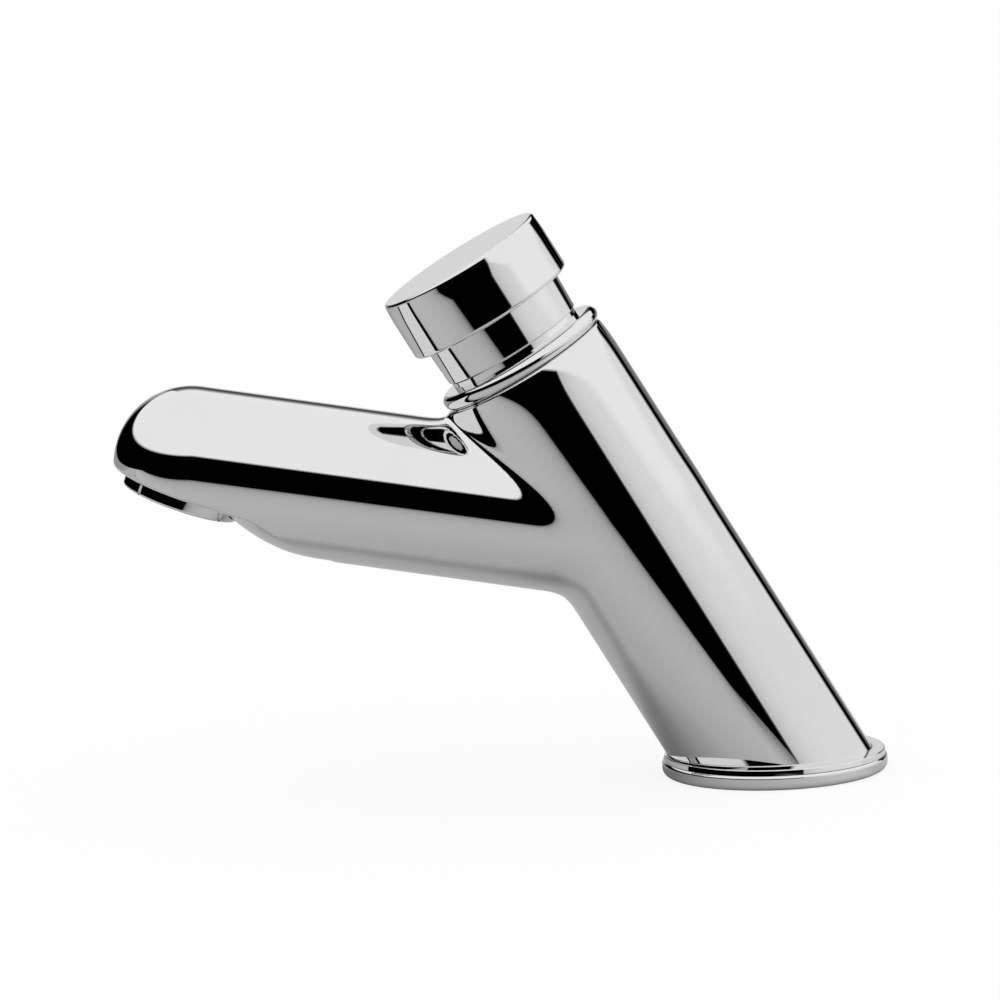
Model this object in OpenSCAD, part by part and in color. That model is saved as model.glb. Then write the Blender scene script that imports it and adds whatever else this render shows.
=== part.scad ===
// Push timed tap for a basin: a chromed casting with a leaning column and a rising round spout,
// a push button over a fixed neck, and a self-closing cartridge inside the column.
// The origin is the middle of the base on the deck, +Z is up and the spout points along -X.

/* [Column] */
// Lean of the column away from upright, towards the spout
body_lean = 30; // [24:1:34]
// Outside diameter of the column
body_d = 39.4; // [38:0.1:44]
// Length of the column along its own axis, from the deck to its top face
body_length = 107.5; // [104:0.5:120]
// Distance of the column's axis from the middle of the base, at deck height
body_offset = 1.6; // [0.8:0.1:2.4]
// Rounding of the column's upper edge, under the collar
body_edge = 0.6; // [0.3:0.1:1]
// Diameter of the bore that takes the cartridge
bore_d = 31; // [29:0.1:33]
// Depth of that bore below the top face
bore_depth = 61.5; // [58:0.5:66]

/* [Spout] */
// Outside diameter of the spout
spout_d = 34.6; // [32:0.1:36]
// Rise of the spout towards its tip
spout_rise = 10; // [5:1:14]
// Height, along the column's axis, at which the spout's axis crosses it
spout_height = 65.6; // [62:0.2:68]
// Distance from that crossing to the middle of the round nose
spout_reach = 96.7; // [88:0.5:120]
// Diameter of the water space inside the spout
core_d = 25; // [20:0.5:27]
// Diameter of the port from the cartridge's bore into that space
port_d = 8; // [6:0.5:9]
// Fillet between spout and column, on the underside
fillet_under = 6.4; // [3:0.1:8]
// Fillet between spout and column, on the top side
fillet_top = 1.5; // [1:0.1:2.5]
// Radius of the sole's curve, from the straight underside up to the outlet
sole_radius = 42; // [36:1:50]
// Crown of the sole from side to side
sole_crown = 32; // [28:1:42]

/* [Outlet] */
// Tilt of the outlet away from straight down, towards the user
outlet_tilt = 21; // [15:1:25]
// Distance of the outlet ahead of the middle of the nose, along the spout
outlet_ahead = 1; // [0:0.1:2]
// Distance of the outlet's seat below the spout's axis
outlet_drop = 5.9; // [5.4:0.1:7]
// Outside diameter of the aerator's rim
rim_d = 26.4; // [25:0.1:27]
// Height of the rim below its seat
rim_h = 3; // [2:0.1:3.6]
// Diameter of the aerator's threaded barrel
barrel_d = 22.8; // [22:0.1:23.5]
// Length of that barrel
barrel_h = 7.5; // [6:0.1:9]
// Inside diameter of the aerator's housing
aerator_bore_d = 19; // [18:0.1:20]
// Width of the key slots in the rim
key_slot_w = 1.8; // [1:0.1:3]
// Depth of the key slots in the rim
key_slot_h = 1; // [0.6:0.1:1.4]

/* [Base] */
// Width of the base ring that shows on the spout's side of the column
base_lip = 1.14; // [0.9:0.02:3]
// Height of the round bead at the foot of the base ring
base_wall = 3.5; // [3:0.1:4]
// Rounding of the bead's upper edge
base_round = 0.9; // [0.5:0.1:1.2]
// Rounding of the bead's lower edge
base_foot_round = 1.6; // [0.6:0.1:1.8]
// Step from the bead in to the upper part of the base ring
base_step = 0.4; // [0.2:0.05:0.5]
// Height of the base ring's flat top
base_top = 4.7; // [4.4:0.1:5.4]
// Lean of the upper part's wall
base_draft = 8; // [4:1:12]
// Rounding of the upper part's edge
base_top_round = 0.3; // [0.2:0.05:0.4]
// Height of the base ring's floor, on which the column stands
base_floor = 2.6; // [2.2:0.1:3]
// Diameter of the spigot that centres the column in the base ring
spigot_d = 32; // [28:0.5:33]
// Width of the sealing ring under the base
seal_w = 2.4; // [1.5:0.1:2.8]
// Height of that sealing ring
seal_h = 1.5; // [1:0.1:1.7]

/* [Inlet] */
// Inside diameter of the inlet's thread, a half-inch pipe thread
inlet_d = 18.63; // [18:0.01:20]
// Depth of the inlet's thread
inlet_depth = 13; // [10:0.5:15]
// Diameter of the strainer at the inner end of the inlet
strainer_d = 16; // [13:0.1:17.6]
// Thickness of that strainer
strainer_h = 1.5; // [1:0.1:2]
// Diameter of the water channel from the inlet to the cartridge
channel_d = 13; // [12:0.5:16]

/* [Head] */
// Diameter of the push button
button_d = 38.9; // [37:0.1:42]
// Height of the push button
button_h = 13.9; // [13:0.1:16]
// Thickness of the button's top
button_top_wall = 3; // [2:0.1:4]
// Rounding of the button's upper edge
button_round = 0.5; // [0.3:0.1:2]
// Rounding of the button's lower edge
button_lower_round = 1; // [0.3:0.1:1.2]
// Travel of the push button
stroke = 7; // [5:0.1:8]
// Room left under the button at the end of its travel
stroke_spare = 1.5; // [1:0.1:3]
// Diameter of the neck that the button slides over
neck_d = 32.8; // [32:0.1:34]
// Diameter of the groove at the foot of the neck
neck_foot_d = 31.6; // [31.4:0.1:32]
// Height of that groove
neck_foot_h = 1.8; // [1:0.1:2.5]
// How far the collar between column and neck stands out beyond the column; below zero it is set in
collar_lip = 0.05; // [-0.7:0.05:0.5]
// Height of the collar
collar_h = 3.5; // [3:0.1:5]

/* [Cartridge] */
// Depth of the bonnet's spigot in the column
bonnet_insert = 10; // [9.5:0.1:11.5]
// Thickness of the bonnet's floor
bonnet_floor = 7.5; // [7.2:0.1:9]
// Diameter of the timing cylinder and of the outlet chamber
timing_d = 24; // [23:0.1:25]
// Thickness of the piston
piston_h = 5; // [4.5:0.1:6]
// Thickness of the web under the timing cylinder
web_h = 2; // [1.5:0.1:2.5]
// Outside diameter of the valve seat
seat_d = 18; // [17:0.1:20]
// Height of the valve seat
seat_h = 4; // [3.5:0.1:5]
// Diameter of the hole through the valve seat
seat_hole_d = 12; // [11.6:0.1:13]
// Thickness of the rubber washer that closes the seat
washer_h = 3.6; // [2.5:0.1:4]
// Thickness of the carrier under the washer
carrier_h = 2.6; // [2:0.1:3]
// Thickness of the flat gasket under the cartridge
gasket_h = 2; // [1:0.1:2.5]
// Width of each outlet window in the cartridge
window_w = 11; // [8:0.5:13]

/* [Stem and spring] */
// Diameter of the stem in its bush
stem_d = 8; // [7:0.1:8.4]
// Diameter of the stem's thread in the button
stem_thread_d = 6; // [5:0.1:6.4]
// Diameter of the stem's thread in the washer nut
stem_tail_d = 5; // [4:0.1:5.4]
// Diameter of the stem below the piston
stem_core_d = 10; // [9.4:0.1:10.4]
// Wall of the bush and of the gland round the stem
bush_wall = 2; // [1.8:0.1:2.4]
// Diameter of the metering pin
metering_pin_d = 1.6; // [1.2:0.1:2]
// Diameter of the spring's wire
wire_d = 1.6; // [1.2:0.1:1.8]
// Mean diameter of the spring
coil_d = 19; // [18:0.1:20]
// Number of turns of the spring
coil_turns = 7; // [5:1:8]

/* [Fits] */
// Gap between pieces that slide over each other dry
slide_gap = 0.35; // [0.3:0.05:0.4]
// Gap between the stem and its bush
running_gap = 0.05; // [0.03:0.01:0.1]
// Gap between pieces that are screwed or pushed together
seat_gap = 0.1; // [0.05:0.01:0.15]
// Gap between a moving piece and its stop
rest_gap = 0.3; // [0.2:0.05:0.4]
// Thickness of the O-rings
ring_d = 1.9; // [1.6:0.1:2]

/* [Hidden] */
$fn = 96;

chrome = [0.80, 0.81, 0.83];
brass = [0.78, 0.62, 0.30];
steel = [0.62, 0.63, 0.65];
white_plastic = [0.92, 0.92, 0.89];
black_rubber = [0.12, 0.12, 0.13];

body_r = body_d / 2;
collar_d = body_d + 2 * collar_lip;
bore_r = bore_d / 2;
spout_r = spout_d / 2;
core_r = core_d / 2;
big = 4 * (body_length + spout_reach);

// How far one part of a solid reaches into the next, so that they join
join = 0.1;

// Heights along the column's axis, from the deck upwards
body_top = body_length;
collar_top = body_top + collar_h;
neck_foot_top = collar_top + neck_foot_h;
button_bottom = neck_foot_top + stroke + stroke_spare;
button_top = button_bottom + button_h;
button_ceiling = button_top - button_top_wall;
neck_spare = 1.2;
neck_top = button_ceiling - stroke - neck_spare;
bonnet_bottom = body_top - bonnet_insert;
bonnet_floor_top = bonnet_bottom + bonnet_floor;
bore_floor = body_top - bore_depth;
cartridge_top = bonnet_bottom;
cartridge_bottom = bore_floor + gasket_h;
piston_top = cartridge_top - rest_gap;
piston_bottom = piston_top - piston_h;
piston_spare = 1.2;
web_top = piston_bottom - stroke - piston_spare;
web_bottom = web_top - web_h;
carrier_spare = 0.5;
carrier_bottom = cartridge_bottom + stroke + carrier_spare;
washer_bottom = carrier_bottom + carrier_h;
washer_top = washer_bottom + washer_h;
seat_lip_h = 0.6;
seat_lip_bottom = washer_top + rest_gap;
seat_bottom = seat_lip_bottom + seat_lip_h;
seat_top = seat_bottom + seat_h;

// The stem's threaded ends and the nuts on them
stem_gap = seat_gap / 2;
boss_wall = 3.5;
boss_r = stem_thread_d / 2 + boss_wall;
boss_h = 11;
boss_bottom = button_ceiling - boss_h;
lock_nut_h = 5;
lock_nut_wall = 2;
lock_nut_flats = stem_thread_d + 2 * lock_nut_wall;
lock_nut_bottom = boss_bottom - lock_nut_h;
stem_spare = 2;
stem_shoulder = lock_nut_bottom - stem_spare;
stem_top = button_ceiling - stem_spare;
washer_nut_h = 3.5;
washer_nut_wall = 1.5;
washer_nut_flats = stem_tail_d + 2 * washer_nut_wall;
washer_nut_bottom = carrier_bottom - washer_nut_h;
clip_h = 1.2;
clip_w = 2.6;
clip_r = stem_d / 2 + clip_w;
clip_mouth_share = 0.7;

// The gland in the bonnet's floor
gland_r = stem_d / 2 + bush_wall;
gland_lid = 1.4;
gland_top = bonnet_floor_top - gland_lid;
ring_room = ring_d + 0.4;
bush_top = gland_top - ring_room;

// The cartridge's two outer O-rings, level with the web and with the valve seat
housing_r = bore_r - seat_gap;
upper_ring_s = (web_top + web_bottom) / 2;
lower_ring_s = (seat_top + seat_bottom) / 2;
bonnet_ring_s = bonnet_bottom + bonnet_floor / 2;
window_margin = 2;
window_count = 4;
carrier_gap = 2;
inlet_chamber_r = seat_d / 2 + carrier_gap;
piston_seal_w = 2;
piston_seal_h = 2.2;
piston_groove_r = timing_d / 2 - piston_seal_w - seat_gap;
pin_orbit = (clip_r + seat_gap + piston_groove_r) / 2;

// The spout's direction meets the column's axis at this angle
joint_angle = 90 - spout_rise - body_lean;

// Places along the spout, measured from the middle of the nose, and above its axis
tilt_in_spout = outlet_tilt - spout_rise;
recess_gap = 0.5;
recess_r = rim_d / 2 + recess_gap;
rim_back = outlet_ahead - recess_r * cos(tilt_in_spout) + rim_h * sin(tilt_in_spout);
rim_back_drop = outlet_drop + recess_r * sin(tilt_in_spout) + rim_h * cos(tilt_in_spout);
sole_rise = sole_radius - spout_r;
sole_start = rim_back - sqrt(sole_radius ^ 2 - (sole_rise + rim_back_drop) ^ 2);
pocket_r = barrel_d / 2 + seat_gap;
aerator_gasket_h = 1.5;
pocket_depth = barrel_h + aerator_gasket_h;
rim_round = 0.6;
rim_lip_h = 0.8;
rim_lip_w = 0.8;
key_slot_l = 1.6;
insert_h = 5;
insert_r = aerator_bore_d / 2 - seat_gap;
insert_inward = insert_h + rim_lip_h - rim_h;
insert_rim = 1.5;
insert_hole_r = 0.95;
screen_h = 0.8;
well_r = aerator_bore_d / 2;
well_h = 5.5;
well_depth = pocket_depth + well_h;
core_wall = 2.4;
core_end = sole_start + sqrt(sole_radius ^ 2 - (sole_rise + core_r + core_wall) ^ 2);
link_r = 4.5;
link_wall = 1.5;
link_above = core_r - link_r - link_wall;

// The port meets the bore's wall level with the middle of the cartridge's windows
port_wall = 3;
port_rise = (seat_top + web_bottom) / 2 - spout_height;
port_above = port_rise * sin(joint_angle) - bore_r * cos(joint_angle);
core_start = (bore_r + port_wall + core_r * cos(joint_angle)) / sin(joint_angle);

// The base ring's outline and the sealing ring's place in it
column_reach = body_r / cos(body_lean) + base_top * tan(body_lean) - body_offset;
base_r = column_reach + base_lip;
spigot_r = spigot_d / 2;
seal_r = (spigot_r + base_r) / 2;

inlet_r = inlet_d / 2;
inlet_end = inlet_depth + strainer_h;
strainer_rim = 1.8;
strainer_hole_r = 0.8;

// Fillet between spout and column: one rolling ball per direction round the spout
fillet_steps = 48;
fillet_arc = 6;
fillet_sink = 0.12;
fillet_root = 2;

function fillet_r(turn) = fillet_top + (fillet_under - fillet_top) * (1 - cos(turn)) / 2;

// In the crossing's own axes: x away from the column towards the spout, z up the column
function spout_radial(turn) =
    [-cos(turn) * cos(joint_angle), sin(turn), cos(turn) * sin(joint_angle)];

function ball_centre(turn) =
    let (
        r = fillet_r(turn),
        from_spout = spout_r + r,
        from_column = body_r + r,
        side = from_spout * sin(turn),
        out = sqrt(from_column ^ 2 - side ^ 2),
        along = (out + from_spout * cos(turn) * cos(joint_angle)) / sin(joint_angle)
    )
    along * [sin(joint_angle), 0, cos(joint_angle)] + from_spout * spout_radial(turn);

function flat_unit(p) = [p.x, p.y, 0] / norm([p.x, p.y]);

function between(a, b, share) =
    let (whole = acos(a * b))
    (sin((1 - share) * whole) * a + sin(share * whole) * b) / sin(whole);

function fillet_ring(turn) =
    let (
        r = fillet_r(turn),
        centre = ball_centre(turn),
        to_spout = -spout_radial(turn),
        to_column = -flat_unit(centre),
        corner = (r + fillet_root) / (1 + to_spout * to_column)
    )
    concat(
        [centre + (r + fillet_sink) * to_spout],
        [for (k = [1:fillet_arc - 1]) centre + r * between(to_spout, to_column, k / fillet_arc)],
        [centre + (r + fillet_sink) * to_column],
        [centre + corner * (to_spout + to_column)]
    );

// Triangles between closed rings of points; the last ring joins the first when looped
function ring_faces(rings, sides, looped) =
    [for (i = [0:rings - (looped ? 1 : 2)], j = [0:sides - 1])
        let (
            a = i * sides,
            b = ((i + 1) % rings) * sides,
            k = (j + 1) % sides
        )
        each [[a + j, b + k, b + j], [a + j, a + k, b + k]]];

// Spring: closed ends of one turn, open turns between them
end_gap = 0.5;
end_pitch = wire_d + end_gap;
spring_ends = 0.1;
spring_base = bonnet_floor_top + spring_ends + wire_d / 2;
spring_height = button_ceiling - bonnet_floor_top - 2 * spring_ends - wire_d;
open_pitch = (spring_height - 2 * end_pitch) / (coil_turns - 2);
turn_steps = 12;
wire_sides = 8;

function spring_z(t) =
    t < 1 ? t * end_pitch
    : t > coil_turns - 1 ? spring_height - (coil_turns - t) * end_pitch
    : end_pitch + (t - 1) * open_pitch;

function wire_ring(t) =
    let (
        outward = [cos(360 * t), sin(360 * t), 0],
        middle = coil_d / 2 * outward + [0, 0, spring_z(t)]
    )
    [for (k = [0:wire_sides - 1])
        let (a = 360 * k / wire_sides)
        middle + wire_d / 2 * (cos(a) * outward + sin(a) * [0, 0, 1])];

spring_points = [for (i = [0:coil_turns * turn_steps]) spring_z(i / turn_steps)];
spring_gap = min([for (i = [0:(coil_turns - 1) * turn_steps])
    spring_points[i + turn_steps] - spring_points[i] - wire_d]);
echo(spring_gap = spring_gap);

// Frames of the column, the spout and the outlet
module column_frame(s = 0) {
    translate([body_offset, 0, 0])
        rotate([0, -body_lean, 0])
            translate([0, 0, s])
                children();
}

module spout_frame(along = 0, above = 0) {
    column_frame(spout_height)
        rotate([0, -joint_angle, 0])
            translate([above, 0, along])
                children();
}

module nose_frame(along = 0, above = 0) {
    spout_frame(spout_reach + along, above) children();
}

module outlet_frame(inward = 0) {
    nose_frame(outlet_ahead, -outlet_drop)
        rotate([0, 270 + tilt_in_spout, 0])
            translate([0, 0, -inward])
                children();
}

// Plain round pieces
module tube(outer_r, inner_r, h) {
    difference() {
        cylinder(r = outer_r, h = h);
        translate([0, 0, -h]) cylinder(r = inner_r, h = 3 * h);
    }
}

module o_ring(middle_r) {
    rotate_extrude() translate([middle_r, 0]) circle(d = ring_d, $fn = 32);
}

module ring_groove(outer_r, floor_r) {
    translate([0, 0, -ring_room / 2])
        difference() {
            cylinder(r = outer_r + 1, h = ring_room);
            translate([0, 0, -ring_room]) cylinder(r = floor_r, h = 3 * ring_room);
        }
}

module hex_nut(flats, hole_r, h) {
    difference() {
        cylinder(d = flats / cos(30), h = h, $fn = 6);
        translate([0, 0, -h]) cylinder(r = hole_r, h = 3 * h);
    }
}

// Three rings of holes through a plate, the outermost at the given radius
module hole_rows(outer_r, hole_r, plate_h) {
    rows = 3;
    for (row = [1:rows], i = [0:6 * row - 1])
        rotate(60 * i / row)
            translate([row * outer_r / rows, 0, -plate_h])
                cylinder(r = hole_r, h = 3 * plate_h, $fn = 24);
}

// Half outline of a turned piece with rounded outer edges
module turned_outline(r, h, upper = 0, lower = 0) {
    translate([0, lower]) square([r, h - upper - lower]);
    square([r - max(upper, lower), h]);
    if (upper > 0) {
        translate([0, h - upper - lower]) square([r - upper, upper + lower]);
        translate([r - upper, h - upper]) circle(upper);
    }
    if (lower > 0) {
        square([r - lower, lower]);
        translate([r - lower, lower]) circle(lower);
    }
}

// Casting: column, spout, nose and the fillet between them
module spout_fillet() {
    turns = [for (i = [0:fillet_steps - 1]) i * 360 / fillet_steps];
    points = [for (turn = turns) each fillet_ring(turn)];
    column_frame(spout_height)
        mirror([1, 0, 0])
            polyhedron(points, ring_faces(fillet_steps, fillet_arc + 2, true));
}

module column_outside() {
    column_frame(-body_d) cylinder(d = body_d, h = body_top + body_d);
}

module spout_outside() {
    spout_frame() cylinder(r = spout_r, h = spout_reach);
    nose_frame() sphere(r = spout_r);
}

// What is cut away over the column's top face and its rounded edge
module above_column() {
    column_frame(body_top - body_edge)
        difference() {
            cylinder(r = body_r + 2 * fillet_top, h = body_d);
            translate([0, 0, -body_edge])
                rotate_extrude() turned_outline(body_r, 2 * body_edge, upper = body_edge);
        }
}

// Everything that the sole's crowned curve leaves standing behind the outlet
module sole_keeper() {
    half_w = spout_r + 1;
    nose_frame(sole_start, sole_rise)
        rotate([90, 0, 0])
            rotate_extrude()
                intersection() {
                    translate([0, -half_w]) square([sole_radius, 2 * half_w]);
                    translate([sole_radius - sole_crown, 0]) circle(sole_crown);
                }
    nose_frame(sole_start - spout_reach, -2 * spout_r)
        translate([0, -spout_r, 0]) cube([4 * spout_r, 2 * spout_r, spout_reach]);
}

module under_outlet() {
    difference() {
        outlet_frame()
            translate([-spout_reach, -body_d, 0])
                cube([2 * spout_reach, 2 * body_d, 2 * spout_r]);
        sole_keeper();
        column_outside();
    }
    outlet_frame() cylinder(r = recess_r, h = 2 * spout_r);
}

module water_spaces() {
    column_frame(bore_floor) cylinder(r = bore_r, h = bore_depth + 1);
    cylinder(r = inlet_r, h = 2 * inlet_depth, center = true);
    cylinder(d = strainer_d, h = inlet_end);
    intersection() {
        column_frame() cylinder(d = channel_d, h = bore_floor + 1);
        translate([-body_d, -body_d, inlet_end - 0.01]) cube(2 * body_d);
    }
    spout_frame(0, port_above) cylinder(d = port_d, h = core_start + 1);
    spout_frame(core_start) cylinder(r = core_r, h = spout_reach + core_end - core_start);
    nose_frame(core_end - 1, link_above) cylinder(r = link_r, h = outlet_ahead - core_end + 1);
    outlet_frame(pocket_depth) cylinder(r = pocket_r, h = pocket_depth + 1);
    outlet_frame(well_depth) cylinder(r = well_r, h = well_depth);
}

module tap_body() {
    color(chrome)
        difference() {
            union() {
                difference() {
                    union() {
                        column_outside();
                        spout_outside();
                        spout_fillet();
                    }
                    translate([-big, -big, base_floor - big]) cube([2 * big, 2 * big, big]);
                    above_column();
                    under_outlet();
                }
                cylinder(r = spigot_r, h = base_floor + 0.01);
            }
            water_spaces();
        }
}

// Base
module base_outline() {
    foot_z = base_wall - base_round;
    foot_r = base_r - base_step + base_round * tan(base_draft);
    edge_z = base_top - base_top_round;
    edge_r = foot_r - (edge_z - foot_z) * tan(base_draft) - base_top_round / cos(base_draft);
    turned_outline(base_r, base_wall, base_round, base_foot_round);
    polygon([
        [0, base_foot_round], [foot_r, foot_z],
        [edge_r + base_top_round * cos(base_draft), edge_z + base_top_round * sin(base_draft)],
        [edge_r, base_top], [0, base_top]
    ]);
    translate([edge_r, edge_z]) circle(base_top_round);
}

module base_ring() {
    color(chrome)
        difference() {
            rotate_extrude() base_outline();
            translate([0, 0, -1]) cylinder(r = spigot_r + seat_gap, h = 2 * base_r);
            translate([0, 0, -1])
                tube(seal_r + seal_w / 2 + seat_gap, seal_r - seal_w / 2 - seat_gap, seal_h + 1);
            intersection() {
                column_frame(-body_d) cylinder(r = body_r + seat_gap, h = body_length);
                translate([-body_d, -body_d, base_floor]) cube(2 * body_d);
            }
        }
}

module base_seal() {
    color(black_rubber) tube(seal_r + seal_w / 2, seal_r - seal_w / 2, seal_h);
}

module inlet_strainer() {
    color(steel)
        translate([0, 0, inlet_depth])
            difference() {
                cylinder(r = strainer_d / 2 - seat_gap, h = strainer_h);
                hole_rows(strainer_d / 2 - strainer_rim, strainer_hole_r, strainer_h);
            }
}

// Head
module collar_ring() {
    color(chrome)
        column_frame(body_top)
            difference() {
                rotate_extrude()
                    union() {
                        square([collar_d / 2 - collar_h / 2, collar_h]);
                        translate([collar_d / 2 - collar_h / 2, collar_h / 2]) circle(d = collar_h);
                    }
                translate([0, 0, -1]) cylinder(r = bore_r, h = collar_h + 2);
            }
}

module bonnet() {
    cup_wall = 3;
    color(chrome)
        column_frame()
            difference() {
                union() {
                    translate([0, 0, bonnet_bottom])
                        cylinder(r = bore_r - seat_gap, h = collar_top - bonnet_bottom);
                    translate([0, 0, collar_top]) cylinder(d = neck_foot_d, h = neck_foot_h);
                    translate([0, 0, neck_foot_top]) cylinder(d = neck_d, h = neck_top - neck_foot_top);
                }
                translate([0, 0, bonnet_floor_top])
                    cylinder(r = neck_d / 2 - cup_wall, h = neck_top);
                translate([0, 0, bonnet_bottom - 1]) cylinder(r = gland_r, h = gland_top - bonnet_bottom + 1);
                translate([0, 0, gland_top - 1]) cylinder(r = stem_d / 2 + slide_gap, h = gland_lid + 2);
                translate([0, 0, bonnet_ring_s]) ring_groove(bore_r, bore_r - ring_d - seat_gap);
            }
}

module bonnet_o_ring() {
    color(black_rubber) column_frame(bonnet_ring_s) o_ring(bore_r - ring_d / 2 - stem_gap);
}

module stem_bush() {
    color(white_plastic)
        column_frame(bonnet_bottom)
            tube(gland_r - stem_gap, stem_d / 2 + running_gap, bush_top - bonnet_bottom);
}

module stem_o_ring() {
    color(black_rubber)
        column_frame((bush_top + gland_top) / 2) o_ring(gland_r - ring_d / 2 - stem_gap);
}

// Cartridge
module cartridge_housing() {
    color(white_plastic)
        column_frame()
            difference() {
                translate([0, 0, cartridge_bottom])
                    cylinder(r = housing_r, h = cartridge_top - cartridge_bottom);
                translate([0, 0, web_top]) cylinder(d = timing_d, h = cartridge_top);
                translate([0, 0, seat_top]) cylinder(d = timing_d, h = web_bottom - seat_top);
                translate([0, 0, web_bottom - 1]) cylinder(r = stem_core_d / 2 + slide_gap, h = web_h + 2);
                translate([0, 0, seat_bottom]) cylinder(r = seat_d / 2 + stem_gap, h = seat_h + 1);
                translate([0, 0, cartridge_bottom - 1])
                    cylinder(r = inlet_chamber_r, h = seat_bottom - cartridge_bottom + 1);
                for (i = [0:window_count - 1])
                    rotate(360 * i / window_count)
                        translate([timing_d / 4, -window_w / 2, seat_top + window_margin])
                            cube([bore_d, window_w, web_bottom - seat_top - 2 * window_margin]);
                for (s = [upper_ring_s, lower_ring_s])
                    translate([0, 0, s]) ring_groove(bore_r, bore_r - ring_d - seat_gap);
                translate([pin_orbit, 0, web_bottom - 1])
                    cylinder(d = metering_pin_d + seat_gap, h = web_h + 2);
            }
}

module cartridge_upper_o_ring() {
    color(black_rubber) column_frame(upper_ring_s) o_ring(bore_r - ring_d / 2 - stem_gap);
}

module cartridge_lower_o_ring() {
    color(black_rubber) column_frame(lower_ring_s) o_ring(bore_r - ring_d / 2 - stem_gap);
}

module cartridge_gasket() {
    color(black_rubber) column_frame(bore_floor) tube(housing_r, inlet_chamber_r, gasket_h);
}

module valve_seat() {
    lip_w = 1.2;
    color(brass)
        column_frame()
            difference() {
                union() {
                    translate([0, 0, seat_bottom]) cylinder(d = seat_d, h = seat_h);
                    translate([0, 0, seat_lip_bottom])
                        cylinder(d = seat_hole_d + 2 * lip_w, h = seat_lip_h + 1);
                }
                translate([0, 0, seat_lip_bottom - 1])
                    cylinder(d = seat_hole_d, h = seat_h + seat_lip_h + 2);
            }
}

module metering_pin() {
    color(steel)
        column_frame(web_bottom)
            translate([pin_orbit, 0, 0])
                cylinder(d = metering_pin_d, h = piston_top - web_bottom);
}

// Outlet
module aerator_housing() {
    color(chrome)
        outlet_frame()
            difference() {
                union() {
                    rotate_extrude() turned_outline(rim_d / 2, rim_h, upper = rim_round);
                    translate([0, 0, -barrel_h]) cylinder(d = barrel_d, h = barrel_h + join);
                }
                translate([0, 0, -2 * barrel_h])
                    cylinder(d = aerator_bore_d, h = 2 * barrel_h + rim_h - rim_lip_h);
                cylinder(r = aerator_bore_d / 2 - rim_lip_w, h = 2 * rim_h);
                for (turn = [45:90:315])
                    rotate(turn)
                        translate([rim_d / 2 - key_slot_l, -key_slot_w / 2, rim_h - key_slot_h])
                            cube([rim_d, key_slot_w, rim_h]);
            }
}

module aerator_insert() {
    color(white_plastic)
        outlet_frame(insert_inward)
            difference() {
                cylinder(r = insert_r, h = insert_h);
                hole_rows(insert_r - insert_rim, insert_hole_r, insert_h);
            }
}

module aerator_screen() {
    color(steel) outlet_frame(insert_inward + screen_h) cylinder(r = insert_r, h = screen_h);
}

module aerator_gasket() {
    color(black_rubber)
        outlet_frame(pocket_depth) tube(pocket_r - seat_gap, well_r, aerator_gasket_h);
}

// Spring and moving pieces
module return_spring() {
    rings = coil_turns * turn_steps + 1;
    first_cap = [[for (k = [wire_sides - 1:-1:0]) k]];
    last_cap = [[for (k = [0:wire_sides - 1]) (rings - 1) * wire_sides + k]];
    points = [for (i = [0:rings - 1]) each wire_ring(i / turn_steps)];
    color(steel)
        column_frame(spring_base)
            polyhedron(points, concat(ring_faces(rings, wire_sides, false), first_cap, last_cap));
}

module push_button() {
    color(chrome)
        column_frame(button_bottom)
            difference() {
                rotate_extrude() turned_outline(button_d / 2, button_h, button_round, button_lower_round);
                difference() {
                    translate([0, 0, -1])
                        cylinder(r = neck_d / 2 + slide_gap, h = button_h - button_top_wall + 1);
                    translate([0, 0, boss_bottom - button_bottom]) cylinder(r = boss_r, h = boss_h + 1);
                }
                translate([0, 0, boss_bottom - button_bottom - 1])
                    cylinder(r = stem_thread_d / 2 + stem_gap, h = stem_top - boss_bottom + 1);
            }
}

module stem() {
    color(steel)
        column_frame()
            union() {
                translate([0, 0, stem_shoulder - 1])
                    cylinder(d = stem_thread_d, h = stem_top - stem_shoulder + 1);
                translate([0, 0, piston_bottom - 1])
                    cylinder(d = stem_d, h = stem_shoulder - piston_bottom + 1);
                translate([0, 0, washer_top])
                    cylinder(d = stem_core_d, h = piston_bottom - washer_top);
                translate([0, 0, washer_nut_bottom])
                    cylinder(d = stem_tail_d, h = washer_top - washer_nut_bottom + 1);
            }
}

module lock_nut() {
    color(steel)
        column_frame(lock_nut_bottom)
            hex_nut(lock_nut_flats, stem_thread_d / 2 + stem_gap, lock_nut_h);
}

module piston() {
    color(white_plastic)
        column_frame(piston_bottom)
            difference() {
                cylinder(r = timing_d / 2 - slide_gap, h = piston_h);
                translate([0, 0, -1]) cylinder(r = stem_d / 2 + stem_gap, h = piston_h + 2);
                translate([0, 0, piston_h - clip_h]) cylinder(r = clip_r + seat_gap, h = clip_h + 1);
                translate([0, 0, piston_h / 2 - piston_seal_h / 2])
                    tube(timing_d / 2 + 1, piston_groove_r, piston_seal_h);
                translate([pin_orbit, 0, -1]) cylinder(d = metering_pin_d + 2 * rest_gap, h = piston_h + 2);
            }
}

module piston_seal() {
    lip_gap = 0.15;
    color(black_rubber)
        column_frame(piston_bottom + piston_h / 2 - piston_seal_h / 2 + stem_gap)
            tube(timing_d / 2 - lip_gap, piston_groove_r + seat_gap, piston_seal_h - 2 * stem_gap);
}

module piston_clip() {
    mouth_w = clip_mouth_share * stem_d;
    color(steel)
        column_frame(piston_top - clip_h)
            difference() {
                tube(clip_r, stem_d / 2 + stem_gap, clip_h);
                translate([-2 * clip_r, -mouth_w / 2, -1]) cube([2 * clip_r, mouth_w, clip_h + 2]);
            }
}

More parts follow.
